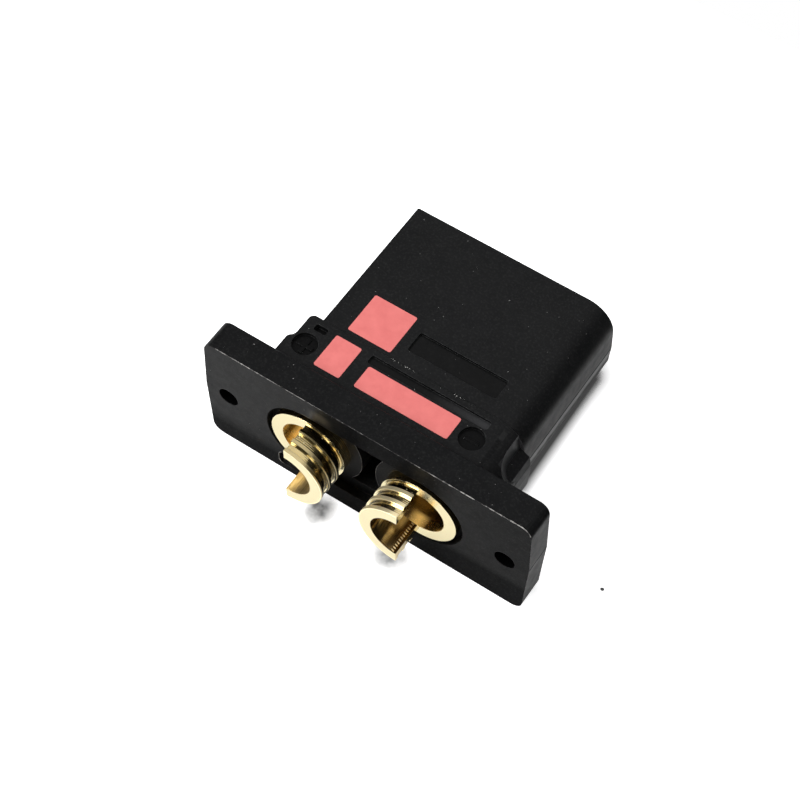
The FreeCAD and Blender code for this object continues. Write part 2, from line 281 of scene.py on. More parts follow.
def side_line(tree, at):
    """Masks on the body's right side: parting groove, ridge above it, pale band below it, dark lower part;
    the groove and the lower part are darkened with painted shade
    """
    on_side = both(tree, calc(tree, "GREATER_THAN", at.facing_x, 0.6), above(tree, at.x, 15.0),
                   below(tree, at.x, BODY_SIDE), above(tree, at.y, COLLAR_END))
    groove = both(tree, on_side, within(tree, at.z, BODY_PARTING - 0.12, BODY_PARTING + 0.12, 0.12))
    ridge = both(tree, on_side, within(tree, at.z, BODY_PARTING + 0.35, BODY_PARTING + 0.75, 0.2))
    band = both(tree, on_side, within(tree, at.z, BODY_PARTING - 1.5, BODY_PARTING - 0.25, 0.3))
    low = both(tree, on_side, slope(tree, at.z, BODY_PARTING - 1.9, BODY_PARTING - 2.5))
    return groove, ridge, band, low


def end_line(tree, at):
    """Masks on the flange's ends: parting groove darkened with painted shade, ridge below it, duller lower
    part
    """
    aside = calc(tree, "ABSOLUTE", at.facing_x)
    outward = calc(tree, "ABSOLUTE", at.x)
    on_end = both(tree, calc(tree, "GREATER_THAN", aside, 0.8), above(tree, outward, 24.0))
    groove = both(tree, on_end, within(tree, at.z, FLANGE_PARTING - 0.11, FLANGE_PARTING + 0.11, 0.10))
    ridge = both(tree, on_end, within(tree, at.z, FLANGE_PARTING - 0.55, FLANGE_PARTING - 0.3, 0.15))
    low = both(tree, on_end, slope(tree, at.z, FLANGE_PARTING - 0.5, FLANGE_PARTING - 4.0))
    return groove, ridge, low


def screw_holes(tree, at):
    """1 on the walls of the two screw holes, which are darkened with painted shade"""
    lengthwise = calc(tree, "ABSOLUTE", at.facing_y)
    outward = calc(tree, "ABSOLUTE", at.x)
    return both(tree, calc(tree, "LESS_THAN", lengthwise, 0.5), above(tree, at.y, FLANGE_FRONT + 0.05),
                within(tree, outward, SCREW_X - SCREW_REACH, SCREW_X + SCREW_REACH, 0.05),
                within(tree, at.z, -SCREW_REACH, SCREW_REACH, 0.05))


def notch_walls(tree, at):
    """Masks in the scooped notch: its curved wall and its far end, both lightened with a painted reflection
    of the table
    """
    region = both(tree, above(tree, at.x, NOTCH_LEFT), below(tree, at.y, COLLAR_END + 0.05),
                  above(tree, at.y, NOTCH_NEAR), above(tree, at.z, NOTCH_LOW),
                  below(tree, at.z, COLLAR_TOP - 0.05))
    curved = both(tree, region, calc(tree, "LESS_THAN", at.facing_z, 0.78),
                  calc(tree, "GREATER_THAN", at.facing_y, -0.7), below(tree, at.x, BODY_SIDE))
    far_end = both(tree, region, calc(tree, "LESS_THAN", at.facing_y, -0.7))
    return curved, far_end


def glare_spot(tree, at):
    """1 where light off the positive contact falls on the flange's front"""
    return both(tree, below(tree, at.y, FLANGE_FRONT + 0.05),
                within(tree, at.x, GLARE_X - 0.6, GLARE_X + 0.6, 1.3),
                within(tree, at.z, GLARE_Z - 0.1, GLARE_Z + 0.7, 0.9))


def groove_light(tree, at, start):
    """Rises to 1 from the given x to the right end of the long groove, where it catches more light"""
    return both(tree, within(tree, at.y, GROOVE_NEAR, GROOVE_FAR, 0.2), below(tree, at.z, RECESS_LEVEL),
                slope(tree, at.x, start, GROOVE_RIGHT))


def plastic_gloss(tree, at):
    """Reflection level: less toward the flange's right end and lower edge, least inside the opening"""
    front = calc(tree, "LESS_THAN", at.facing_y, -SQUARE_ON)
    upward = calc(tree, "GREATER_THAN", at.facing_z, SQUARE_ON)
    inner = both(tree, above(tree, at.y, FLANGE_FRONT + 0.6), front)
    rightward = both(tree, front, slope(tree, at.x, *DULLING_X, 0.20, 0.38))
    low_strip = both(tree, front, slope(tree, at.z, *LOW_STRIP_Z, 0.0, 0.26))
    dull_spot = both(tree, front, within(tree, at.x, *DULL_SPOT_X, 5.0),
                     slope(tree, at.z, *DULL_SPOT_Z, 0.0, 0.22))
    front_loss = calc(tree, "ADD", rightward, calc(tree, "ADD", low_strip, dull_spot))
    front_loss = any_of(tree, front_loss, calc(tree, "MULTIPLY", inner, 0.40))
    flange_top = both(tree, upward, above(tree, at.z, UPPER_FLANGE))
    rear_edge = both(tree, calc(tree, "GREATER_THAN", at.facing_y, 0.3), above(tree, at.z, UPPER_FLANGE))
    dish = both(tree, upward, below(tree, at.z, RECESS_LEVEL), above(tree, at.z, RECESS_DEEPEST),
                below(tree, at.y, DISH_FAR))
    slot = both(tree, below(tree, at.x, SLOT_RIGHT), within(tree, at.y, *SLOT_Y, 0.1),
                within(tree, at.z, *SLOT_Z, 0.1))
    groove, ridge, band, low = side_line(tree, at)
    end_groove, end_ridge, end_low = end_line(tree, at)
    dark_lines = any_of(tree, groove, calc(tree, "MULTIPLY", end_groove, 0.85),
                        calc(tree, "MULTIPLY", low, 0.22))
    glare = both(tree, front, within(tree, at.x, GLARE_X - 0.7, GLARE_X + 0.7, 1.6),
                 within(tree, at.z, GLARE_Z - 0.5, GLARE_Z + 0.5, 1.2))
    lit_groove = both(tree, upward, groove_light(tree, at, 2.0))
    curved = notch_walls(tree, at)[0]
    duller = ((front_loss, -1.0), (flange_top, -0.20), (rear_edge, -0.45), (any_of(tree, dish, slot), -0.22),
              (dark_lines, -0.9), (end_low, -0.12), (screw_holes(tree, at), -1.0))
    brighter = ((ridge, 0.22), (band, 0.42), (end_ridge, 0.2), (glare, 0.7), (lit_groove, 0.5), (curved, 0.4))
    return calc(tree, "MAXIMUM", weighted(tree, 0.5, *duller, *brighter), 0.03)


def plastic_material():
    material, tree, surface, place = start_material("moulded_plastic")
    at = locate(tree, place)
    rounded, edge = soft_edge(tree, 0.14 * MM, 0.004, 0.10)
    worn = ramp(tree, grain(tree, place, 1400.0, 4.0, 0.65), 0.42, 0.66)
    wear_and_edge_highlight = both(tree, edge, weighted(tree, 0.12, (worn, 0.75)))
    patch = ramp(tree, grain(tree, place, 160.0, 3.0, 0.6), 0.35, 0.75)
    mottle = ramp(tree, grain(tree, place, 3100.0, 3.0, 0.7), 0.50, 0.70)
    fine = grain(tree, place, 5200.0, 2.0, 0.6)
    groove, _, band, low = side_line(tree, at)
    end_groove = end_line(tree, at)[0]
    # Where painted shade goes: the parting grooves, the body's lower side and the screw holes
    dark = any_of(tree, groove, end_groove, calc(tree, "MULTIPLY", low, 0.8),
                  calc(tree, "MULTIPLY", screw_holes(tree, at), 0.95))
    curved, far_end = notch_walls(tree, at)
    lit_groove = both(tree, groove_light(tree, at, 3.0), above(tree, at.z, RECESS_DEEPEST),
                      below(tree, at.x, RECESS_RIGHT))
    glare = both(tree, glare_spot(tree, at), ramp(tree, fine, 0.3, 0.6, 0.5, 1.0))
    base = blend_colour(tree, patch, (0.0055, 0.0057, 0.0061, 1), (0.0085, 0.0087, 0.0091, 1))
    base = tint(tree, base, mottle, 0.5, (0.026, 0.026, 0.026, 1))
    # Edges lightened toward grey: partly wear, partly a painted highlight
    base = tint(tree, base, wear_and_edge_highlight, 0.16, (0.30, 0.30, 0.31, 1))
    # Painted shade: the floors of the recesses are darkened
    base = tint(tree, base, recess_floor_shade(tree, at), 0.7, (0.0015, 0.0015, 0.0015, 1))
    base = tint(tree, base, specks(tree, place, 1150.0, 0.09, 0.04, 0.93), 0.3, (0.45, 0.45, 0.44, 1))
    # Painted shade in the parting grooves, on the lower part of the body's side and in the screw holes
    base = tint(tree, base, dark, 1.0, (0.001, 0.001, 0.001, 1))
    # Painted reflection: the notch's curved wall and far end are lightened as if mirroring the bright table
    base = tint(tree, base, curved, 0.5, (0.03, 0.03, 0.032, 1))
    base = tint(tree, base, far_end, 0.8, (0.12, 0.12, 0.125, 1))
    base = tint(tree, base, lit_groove, 0.5, (0.04, 0.04, 0.043, 1))
    base = tint(tree, base, glare, 0.6, (0.09, 0.075, 0.05, 1))
    wavy = bump(tree, grain(tree, place, 130.0, 1.0), 0.06 * MM, 0.6, rounded)
    set_input(tree, surface, "Base Color", base)
    set_input(tree, surface, "Roughness", ramp(tree, grain(tree, place, 700.0, 3.0), 0.3, 0.7, 0.34, 0.44))
    set_input(tree, surface, "IOR", weighted(tree, PLASTIC_IOR, (band, 0.3)))
    set_input(tree, surface, "Specular IOR Level", plastic_gloss(tree, at))
    set_input(tree, surface, "Normal", bump(tree, fine, 0.012 * MM, 0.55, wavy))
    return material


# Gold on turned brass: rings from the tool, specks in the grooves, paler flat ends, painted shade in the
# bores and on shaded grooves and lands, painted highlights on the edges, painted glow of light in the bores
# and on lit lands
Zones = namedtuple("Zones", "groove land land_back inside behind_ring deep")


def gold_zones(tree, radius, y):
    """Masks: groove floors, lands, lands but for their front, bores, bores behind the ring, bore ends"""
    turns = calc(tree, "DIVIDE", calc(tree, "SUBTRACT", y, CUP_END * MM), CUP_PITCH * MM)
    along = calc(tree, "FRACT", turns)
    in_cup = below(tree, y, FLANGE_FRONT - 0.3)
    groove = both(tree, below(tree, radius, GROOVE_RADIUS + 0.12), above(tree, radius, GROOVE_RADIUS - 0.1),
                  calc(tree, "GREATER_THAN", along, (LAND_WIDTH + 0.06) / CUP_PITCH), in_cup)
    inside = below(tree, radius, BORE_RADIUS + 0.05)
    behind_ring = both(tree, inside, above(tree, y, CUP_RING))
    deep = both(tree, inside, slope(tree, y, -3.5, -2.2))
    land = both(tree, in_cup, above(tree, radius, GROOVE_RADIUS + 0.3))
    land_back = both(tree, land, calc(tree, "GREATER_THAN", along, LAND_FRONT / CUP_PITCH))
    return Zones(groove, land, land_back, inside, behind_ring, deep)


def bore_light(tree, at, zones):
    """Faint warm light gathered on the bore walls: low in the right bore, at the left wall of the left one"""
    from_right = calc(tree, "SUBTRACT", at.x, CONTACT_X * MM)
    from_left = calc(tree, "ADD", at.x, CONTACT_X * MM)
    right_low = both(tree, zones.behind_ring, below(tree, at.z, -2.5),
                     within(tree, from_right, -0.5, -0.1, 1.3), slope(tree, at.y, -2.7, -3.4))
    right_open = both(tree, zones.inside, below(tree, at.z, -2.2), below(tree, at.y, CUP_RING),
                      within(tree, from_right, -2.6, -1.8, 0.6), slope(tree, at.y, -7.2, -6.0))
    left_wall = both(tree, zones.behind_ring, below(tree, from_left, -2.5), slope(tree, at.z, -1.5, -2.5),
                     slope(tree, at.y, -4.5, -3.2))
    return weighted(tree, 0.0, (right_low, 0.52), (right_open, 0.22), (left_wall, 0.42))


def bore_tone(tree, at, place, zones, right_side, left_open):
    """Colour on the bore walls: streaked along the bore, with painted shade in the open cups, darkest at the
    tip of the right cup
    """
    lengthwise = put(tree, "ShaderNodeMapping", {"Vector": place, "Scale": (1.0, 0.05, 1.0)}).outputs[0]
    streak = ramp(tree, grain(tree, lengthwise, 2300.0, 3.0, 0.7), 0.42, 0.58)
    tip = both(tree, right_side, slope(tree, at.y, -6.4, -8.2))
    open_tone = blend_colour(tree, streak, (0.45, 0.28, 0.09, 1), (0.95, 0.72, 0.36, 1))
    open_tone = tint(tree, open_tone, tip, 0.75, (0.22, 0.13, 0.04, 1))
    open_tone = tint(tree, open_tone, left_open, 0.55, (0.45, 0.34, 0.17, 1))
    ring_tone = blend_colour(tree, streak, (0.96, 0.74, 0.36, 1), (1.0, 0.87, 0.52, 1))
    return blend_colour(tree, zones.behind_ring, open_tone, ring_tone)


def turned_normal(tree, place, radius, y, inside, rounded):
    """Fine rings from the lathe tool, with small pits outside the bores"""
    wobble = calc(tree, "MULTIPLY", grain(tree, place, 900.0, 2.0), 0.08 * MM)
    run = calc(tree, "ADD", calc(tree, "ADD", radius, y), wobble)
    rings = calc(tree, "SINE", calc(tree, "MULTIPLY", run, 2 * math.pi / (TURNING_PITCH * MM)))
    turned = bump(tree, rings, 0.003 * MM, 0.8, rounded)
    depth = weighted(tree, 0.5, (inside, -0.42))
    return bump(tree, grain(tree, place, 4200.0, 3.0, 0.75), 0.008 * MM, depth, turned)


def gold_material():
    material, tree, surface, place = start_material("turned_gold")
    at = locate(tree, place)
    rounded, edge = soft_edge(tree, 0.07 * MM, 0.01, 0.2)
    off = calc(tree, "SUBTRACT", calc(tree, "ABSOLUTE", at.x), CONTACT_X * MM)
    squares = calc(tree, "ADD", calc(tree, "MULTIPLY", off, off), calc(tree, "MULTIPLY", at.z, at.z))
    radius = calc(tree, "POWER", squares, 0.5)
    zones = gold_zones(tree, radius, at.y)
    right_side = calc(tree, "GREATER_THAN", at.x, 0.0)
    left_side = inverse(tree, right_side)
    left_open = both(tree, zones.inside, left_side, inverse(tree, zones.behind_ring))
    flat_end = calc(tree, "LESS_THAN", at.facing_y, -0.97)

    # Painted light and shade on the grooves and lands: the shade of the flange darkens some grooves and land
    # sides, the rest of each groove is a lit copy, and the left contact's upper faces are darkened
    left_dark = both(tree, left_side, ramp(tree, at.facing_z, 0.74, 0.55))
    right_dark = both(tree, right_side, ramp(tree, at.facing_z, 0.90, 0.76))
    first_groove = above(tree, at.y, CUP_RING - CUP_PITCH)
    shaded = both(tree, zones.groove, any_of(tree, left_dark, right_dark, first_groove))
    pale = calc(tree, "SUBTRACT", zones.groove, shaded)
    upper_left_shade = both(tree, any_of(tree, zones.land, pale), left_side, ramp(tree, at.facing_z, 0.35, 0.60))
    next_land = both(tree, left_side, above(tree, at.y, CUP_RING - 1.7 * CUP_PITCH))
    land_side_shade = both(tree, zones.land_back, any_of(tree, left_dark, next_land),
                     ramp(tree, at.facing_z, -0.45, -0.1))
    bright = both(tree, specks(tree, place, 2100.0, 0.22, 0.12, 0.72), zones.groove)

    tone = ramp(tree, grain(tree, place, 420.0, 3.0), 0.3, 0.7)
    base = blend_colour(tree, tone, (0.90, 0.69, 0.33, 1), (0.96, 0.77, 0.42, 1))
    base = tint(tree, base, flat_end, 0.85, (1.0, 0.91, 0.58, 1))
    base = tint(tree, base, zones.land, 0.45, (1.0, 0.90, 0.60, 1))
    # Painted highlight: the edges are lightened toward pale gold as if they caught the light
    base = tint(tree, base, edge, 0.6, (1.0, 0.92, 0.66, 1))
    # Painted shade: the bore walls are darker than the outside
    base = tint(tree, base, zones.inside, 0.9, bore_tone(tree, at, place, zones, right_side, left_open))
    # Painted shade deep inside the right bore
    base = tint(tree, base, both(tree, zones.deep, right_side), 0.75, (0.22, 0.13, 0.03, 1))
    # Painted shade on shaded grooves, land sides and the left contact's upper faces; a lit copy on the rest
    # of each groove
    base = tint(tree, base, shaded, 0.88, (0.02, 0.012, 0.006, 1))
    base = tint(tree, base, pale, 0.5, (0.62, 0.50, 0.27, 1))
    base = tint(tree, base, upper_left_shade, 0.6, (0.56, 0.44, 0.19, 1))
    base = tint(tree, base, land_side_shade, 0.97, (0.015, 0.010, 0.004, 1))
    base = tint(tree, base, bright, 0.8, (1.0, 0.88, 0.6, 1))

    smooth = ramp(tree, grain(tree, place, 1500.0, 3.0), 0.3, 0.7, 0.10, 0.18)
    mouth = calc(tree, "SUBTRACT", zones.behind_ring, zones.deep)
    rough = weighted(tree, smooth, (bright, 0.4), (zones.land, 0.18), (mouth, 0.12), (left_open, 0.22))
    lit_land = calc(tree, "SUBTRACT", zones.land, calc(tree, "ADD", land_side_shade, upper_left_shade))
    lit_land = calc(tree, "MAXIMUM", lit_land, 0.0)
    glow_tone = blend_colour(tree, zones.inside, (1.0, 0.86, 0.56, 1), (1.0, 0.60, 0.16, 1))
    glow = weighted(tree, bore_light(tree, at, zones), (lit_land, 0.20))
    set_input(tree, surface, "Base Color", base)
    set_input(tree, surface, "Metallic", 1.0)
    set_input(tree, surface, "Roughness", rough)
    set_input(tree, surface, "Normal", turned_normal(tree, place, radius, at.y, zones.inside, rounded))
    set_input(tree, surface, "Emission Color", glow_tone)
    set_input(tree, surface, "Emission Strength", glow)
    return material


# Coral-red printed field: matt paint over the moulded grain, with painted shade on its edges
def coral_material():
    material, tree, surface, place = start_material("coral_paint")
    rounded, edge = soft_edge(tree, 0.06 * MM, 0.01, 0.15)
    tone = ramp(tree, grain(tree, place, 520.0, 4.0, 0.6), 0.3, 0.7)
    base = blend_colour(tree, tone, (0.80, 0.185, 0.175, 1), (0.88, 0.225, 0.21, 1))
    # Painted shade: the field's edges are darkened
    base = tint(tree, base, edge, 0.45, (0.55, 0.06, 0.06, 1))
    set_input(tree, surface, "Base Color", base)
    set_input(tree, surface, "Roughness", ramp(tree, grain(tree, place, 1900.0, 3.0), 0.3, 0.7, 0.5, 0.66))
    normal = bump(tree, grain(tree, place, 5200.0, 2.0, 0.6), 0.01 * MM, 0.6, rounded)
    set_input(tree, surface, "Normal", normal)
    return material


# Thin flash and scuffed ridges that catch the light, and pale beads that are painted highlights on rims and
# edges
def flash_material(name, pale):
    material, tree, surface, place = start_material(name)
    tone = ramp(tree, grain(tree, place, 1500.0, 4.0, 0.7), 0.40, 0.62)
    base = blend_colour(tree, tone, (0.02, 0.02, 0.02, 1), pale)
    set_input(tree, surface, "Base Color", base)
    set_input(tree, surface, "Roughness", 0.45)
    set_input(tree, surface, "Normal", bump(tree, grain(tree, place, 6000.0, 2.0), 0.02 * MM, 0.6))
    return material


def dust_material():
    material, tree, surface, place = start_material("dust")
    tone = ramp(tree, grain(tree, place, 900.0, 2.0), 0.3, 0.7)
    base = blend_colour(tree, tone, (0.12, 0.12, 0.12, 1), (0.50, 0.49, 0.48, 1))
    set_input(tree, surface, "Base Color", base)
    set_input(tree, surface, "Roughness", 0.8)
    return material


def simple_material(name, dark, light, rough, metal=0.0):
    material, tree, surface, place = start_material(name)
    rounded = soft_edge(tree, 0.06 * MM, 0.01, 0.15)[0]
    tone = ramp(tree, grain(tree, place, 900.0, 3.0), 0.3, 0.7)
    set_input(tree, surface, "Base Color", blend_colour(tree, tone, dark, light))
    set_input(tree, surface, "Metallic", metal)
    set_input(tree, surface, "Roughness", ramp(tree, tone, 0.0, 1.0, rough, rough + 0.1))
    set_input(tree, surface, "Normal", bump(tree, tone, 0.01 * MM, 0.5, rounded))
    return material


plastic = plastic_material()
gold = gold_material()
tooth_gold = simple_material("pale_gold", (0.95, 0.78, 0.42, 1), (1.0, 0.88, 0.58, 1), 0.35, 0.9)
coral = coral_material()
flash = flash_material("pale_flash", (0.62, 0.61, 0.58, 1))
rim_look = flash_material("pale_rim", (0.16, 0.16, 0.16, 1))
dust = dust_material()
insulator = simple_material("insulator", (0.50, 0.47, 0.40, 1), (0.60, 0.57, 0.50, 1), 0.4)
resistor_coat = simple_material("resistor_coat", (0.05, 0.13, 0.18, 1), (0.07, 0.17, 0.23, 1), 0.3)
tin = simple_material("tinned_wire", (0.62, 0.62, 0.60, 1), (0.72, 0.72, 0.70, 1), 0.25, 1.0)

NODE_LOOKS = {
    "housing": (plastic, "housing_plastic"),
    "contact_positive": (gold, "contact_gold"),
    "contact_negative": (gold, "contact_gold"),
    "precharge_ring": (gold, "contact_gold"),
    "ring_insulator": (insulator, "insulator_plastic"),
    "resistor": (resistor_coat, "resistor_body"),
    "resistor_lead_front": (tin, "lead_tin"),
    "resistor_lead_rear": (tin, "lead_tin"),
    "pad_small": (coral, "mark_coral"),
    "pad_long": (coral, "mark_coral"),
    "pad_square": (coral, "mark_coral"),
}
for node_name, (look, slot_name) in NODE_LOOKS.items():
    node = cad_nodes[node_name]
    node.data.materials.clear()
    node.data.materials.append(look)


# Mesh helpers
def link_mesh(name, bm, material):
    mesh = bpy.data.meshes.new(name)
    bm.to_mesh(mesh)
    bm.free()
    mesh.materials.append(material)
    made = bpy.data.objects.new(name, mesh)
    scene.collection.objects.link(made)
    return made


def finish_piece(name, bm, material, smooth=True):
    bmesh.ops.recalc_face_normals(bm, faces=bm.faces)
    piece = link_mesh(name, bm, material)
    for polygon in piece.data.polygons:
        polygon.use_smooth = smooth
    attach(piece, "root")


def sweep(bm, path, size_at, sides=5):
    """Tube along path (millimetres). size_at(index) gives the radius there; thin spots close up."""
    rings = []
    for index, point in enumerate(path):
        before = Vector(path[max(index - 1, 0)])
        after = Vector(path[min(index + 1, len(path) - 1)])
        along = (after - before).normalized()
        side = along.cross(Vector((0.31, -0.2, 0.93))).normalized()
        up = side.cross(along)
        radius = size_at(index)
        ring = []
        for corner in range(sides):
            angle = 2 * math.pi * corner / sides
            spot = Vector(point) + side * math.cos(angle) * radius + up * math.sin(angle) * radius
            ring.append(bm.verts.new(spot * MM))
        rings.append(ring)
    for first, second in zip(rings, rings[1:]):
        for corner in range(sides):
            following = (corner + 1) % sides
            bm.faces.new((first[corner], first[following], second[following], second[corner]))
    bm.faces.new(rings[0])
    bm.faces.new(list(reversed(rings[-1])))


def straight(start, end, step):
    start, end = Vector(start), Vector(end)
    count = max(2, int((end - start).length / step))
    return [start.lerp(end, index / count) for index in range(count + 1)]


def arc(centre_x, centre_z, y, radius, first, last, steps):
    """Points along an arc that faces forward. Angles in degrees from +X toward +Z, last one left out."""
    points = []
    for step in range(steps):
        angle = math.radians(first + (last - first) * step / steps)
        points.append((centre_x + radius * math.cos(angle), y, centre_z + radius * math.sin(angle)))
    return points


def prism(bm, outline, z0, z1):
    """Upright prism over outline points (x, y) in millimetres."""
    low = [bm.verts.new((x * MM, y * MM, z0 * MM)) for x, y in outline]
    high = [bm.verts.new((x * MM, y * MM, z1 * MM)) for x, y in outline]
    count = len(outline)
    for index in range(count):
        following = (index + 1) % count
        bm.faces.new((low[index], low[following], high[following], high[index]))
    bm.faces.new(high)
    bm.faces.new(list(reversed(low)))


def wander(scale, second, third):
    """A function of one number that drifts smoothly between about -1 and 1"""
    return lambda value: noise.noise(Vector((value * scale, second, third)))


# Flash along the front top edge of the flange and round its right corner
FLASH_STEP = 0.12
END_EDGE_STEP = 0.4
END_EDGE_POINTS = 40


def flange_end_x(z):
    return FLANGE_HALF - abs(z - FLANGE_PARTING) * FLANGE_DRAFT


def flash_path():
    corner_x = flange_end_x(FLANGE_TOP) - FLANGE_CORNER
    corner_z = FLANGE_TOP - FLANGE_CORNER
    left_end = (-corner_x + 0.3, FLANGE_FRONT, FLANGE_TOP)
    path = straight(left_end, (corner_x, FLANGE_FRONT, FLANGE_TOP), FLASH_STEP)
    round_corner = arc(corner_x, corner_z, FLANGE_FRONT, FLANGE_CORNER, 81.0, 9.0, 8)
    return path + [Vector(point) for point in round_corner]


def make_flash():
    path = flash_path()
    coarse = wander(1.1, 0.4, 7.0)
    fine = wander(5.0, 9.4, 2.0)

    def size_at(index):
        x = path[index].x
        if x > 0:
            outward = min(1.0, max(0.0, (x - 7.0) / 5.0))
        else:
            outward = 0.6 * min(1.0, max(0.0, (-x - 6.0) / 6.0))
        uneven = (0.075 * coarse(x) + 0.04 * fine(x)) * (0.25 + 0.75 * outward)
        return max(0.004, 0.008 + 0.036 * outward + uneven)

    bm = bmesh.new()
    sweep(bm, path, size_at)
    finish_piece("flange_flash", bm, flash)


# Pale hairline down the flange's right front edge
def make_end_edge():
    levels = [FLANGE_TOP - FLANGE_CORNER - index * END_EDGE_STEP for index in range(END_EDGE_POINTS)]
    path = [(flange_end_x(z), FLANGE_FRONT, z) for z in levels]
    drift = wander(0.45, 3.0, 8.0)
    bm = bmesh.new()
    sweep(bm, path, lambda index: max(0.004, 0.014 + 0.02 * drift(index)))
    finish_piece("flange_end_edge", bm, rim_look)


# Pale beads that paint highlights on the rims of the round contact walls, inside the opening: side, first and
# last angle
WALL_RIM_HIGHLIGHTS = ((-1, -38.0, 48.0), (1, 132.0, 218.0))
WALL_RIM_HIGHLIGHT_STEPS = 40


def make_wall_rim_highlights():
    bm = bmesh.new()
    for side, first, last in WALL_RIM_HIGHLIGHTS:
        path = []
        for step in range(WALL_RIM_HIGHLIGHT_STEPS + 1):
            angle = math.radians(first + (last - first) * step / WALL_RIM_HIGHLIGHT_STEPS)
            path.append((side * CONTACT_X + WALL_RADIUS * math.cos(angle), WALL_FACE,
                         WALL_RADIUS * math.sin(angle)))
        drift = wander(0.4, side, 5.0)
        sweep(bm, path, lambda index: 0.035 + 0.012 * drift(index))
    finish_piece("wall_rim_highlights", bm, rim_look)


# Pale bead on the rounded left edge of the shallow recess: a burr, made pale as a painted highlight
def make_relief_edge_highlight():
    centre_x = RELIEF_LEFT + RELIEF_CORNER
    path = arc(centre_x, RELIEF_TOP - RELIEF_CORNER, FLANGE_FRONT, RELIEF_CORNER, 120.0, 192.0, 6)
    path += arc(centre_x, RELIEF_LOW + RELIEF_CORNER, FLANGE_FRONT, RELIEF_CORNER, 180.0, 280.0, 10)
    drift = wander(0.6, 1.0, 2.0)
    bm = bmesh.new()
    sweep(bm, path, lambda index: 0.045 + 0.02 * drift(index))
    finish_piece("relief_edge_highlight", bm, flash)


# Fine bead on the body's left side where the two halves of the mould met
def make_seams():
    start = (BODY_LEFT, COLLAR_END + 0.05, BODY_PARTING)
    end = (BODY_LEFT, BODY_END - 0.4, BODY_PARTING)
    bm = bmesh.new()
    sweep(bm, straight(start, end, 1.0), lambda index: 0.03, 6)
    finish_piece("mould_seams", bm, plastic)


# Raised polarity signs in the two round recesses: reach and half width of their bars, and height
PLUS_REACH = 1.3
PLUS_HALF = 0.27
PLUS_HEIGHT = 0.2
MINUS_REACH = 1.1
MINUS_HALF = 0.25
MINUS_HEIGHT = 0.1
SIGN_SUNK = 0.05


def cross_outline(centre, reach, half):
    cx, cy = centre
    points = []
    for turn in range(4):
        c, s = round(math.cos(turn * math.pi / 2)), round(math.sin(turn * math.pi / 2))
        for px, py in ((half, half), (half, reach), (-half, reach)):
            points.append((cx + px * c - py * s, cy + px * s + py * c))
    return points


def make_signs():
    bm = bmesh.new()
    foot = SIGN_FLOOR - SIGN_SUNK
    prism(bm, cross_outline(PLUS_CENTRE, PLUS_REACH, PLUS_HALF), foot, SIGN_FLOOR + PLUS_HEIGHT)
    x, y = MINUS_CENTRE
    bar = [(x - MINUS_REACH, y - MINUS_HALF), (x + MINUS_REACH, y - MINUS_HALF),
           (x + MINUS_REACH, y + MINUS_HALF), (x - MINUS_REACH, y + MINUS_HALF)]
    prism(bm, bar, foot, SIGN_FLOOR + MINUS_HEIGHT)
    finish_piece("polarity_signs", bm, plastic, False)


# Small milled teeth along the lower lip inside the right solder cup, slanted as the cutter went.
# TOOTH_SEAT is the distance beside the contact's axis at which they meet the bore.
TOOTH_OUTER = CONTACT_X - 0.40
TOOTH_INNER = CONTACT_X - 0.85
TOOTH_SEAT = 0.8
TOOTH_FIRST = CUP_END + 0.15
TOOTH_WIDTH = 0.16
TOOTH_SLANT = 0.10
TOOTH_SUNK = 0.06
TOOTH_HEIGHT = 0.05


def make_cut_teeth():
    bm = bmesh.new()
    count = int((CUP_RING - CUP_END) / CUT_TOOTH_PITCH)
    bottom = -math.sqrt(BORE_RADIUS ** 2 - TOOTH_SEAT ** 2)
    for index in range(count):
        y0 = TOOTH_FIRST + index * CUT_TOOTH_PITCH
        outline = [(TOOTH_OUTER, y0), (TOOTH_OUTER, y0 + TOOTH_WIDTH),
                   (TOOTH_INNER, y0 + TOOTH_SLANT + TOOTH_WIDTH), (TOOTH_INNER, y0 + TOOTH_SLANT)]
        prism(bm, outline, bottom - TOOTH_SUNK, bottom + TOOTH_HEIGHT)
    finish_piece("cut_teeth", bm, tooth_gold, False)


# Dust on the upper faces, with a few larger motes. An area has its limits in x and y, its level
# and how many motes lie on it.
DUSTY_AREAS = (
    ((-15.5, 15.0), (10.0, 32.0), BODY_TOP, 26),
    ((-15.5, 14.0), (0.6, 9.0), COLLAR_TOP, 16),
    ((-24.0, 24.0), (-4.3, -0.4), FLANGE_TOP, 22),
)
FRONT_MOTES = 10
LARGE_MOTE = 0.06
LARGE_MOTES = (
    (-20.0, -1.1, FLANGE_TOP),
    (-12.5, -2.6, FLANGE_TOP),
    (-16.8, 6.9, COLLAR_TOP),
    (3.3, 26.5, BODY_TOP),
    (-2.8, 19.1, BODY_TOP),
    (9.4, 16.4, BODY_TOP),
)


def add_mote(bm, spot, size, generator):
    made = bmesh.ops.create_icosphere(bm, subdivisions=1, radius=size * MM)
    stretch = 1.0 + generator.random() * 1.6
    turn = Matrix.Rotation(generator.random() * math.pi, 4, "Z")
    shape = turn @ Matrix.Diagonal((stretch, 1.0, 0.6, 1.0))
    for vert in made["verts"]:
        vert.co = shape @ vert.co + Vector(spot) * MM


def make_dust():
    generator = random.Random(11)
    bm = bmesh.new()
    for (x0, x1), (y0, y1), z, count in DUSTY_AREAS:
        for index in range(count):
            spot = (generator.uniform(x0, x1), generator.uniform(y0, y1), z)
            add_mote(bm, spot, 0.012 + 0.032 * generator.random() ** 3, generator)
    for index in range(FRONT_MOTES):
        spot = (generator.uniform(-25.0, 25.0), FLANGE_FRONT, generator.uniform(7.2, 10.4))
        add_mote(bm, spot, 0.012 + 0.025 * generator.random() ** 3, generator)
    for spot in LARGE_MOTES:
        add_mote(bm, spot, LARGE_MOTE, generator)
    finish_piece("dust_motes", bm, dust)


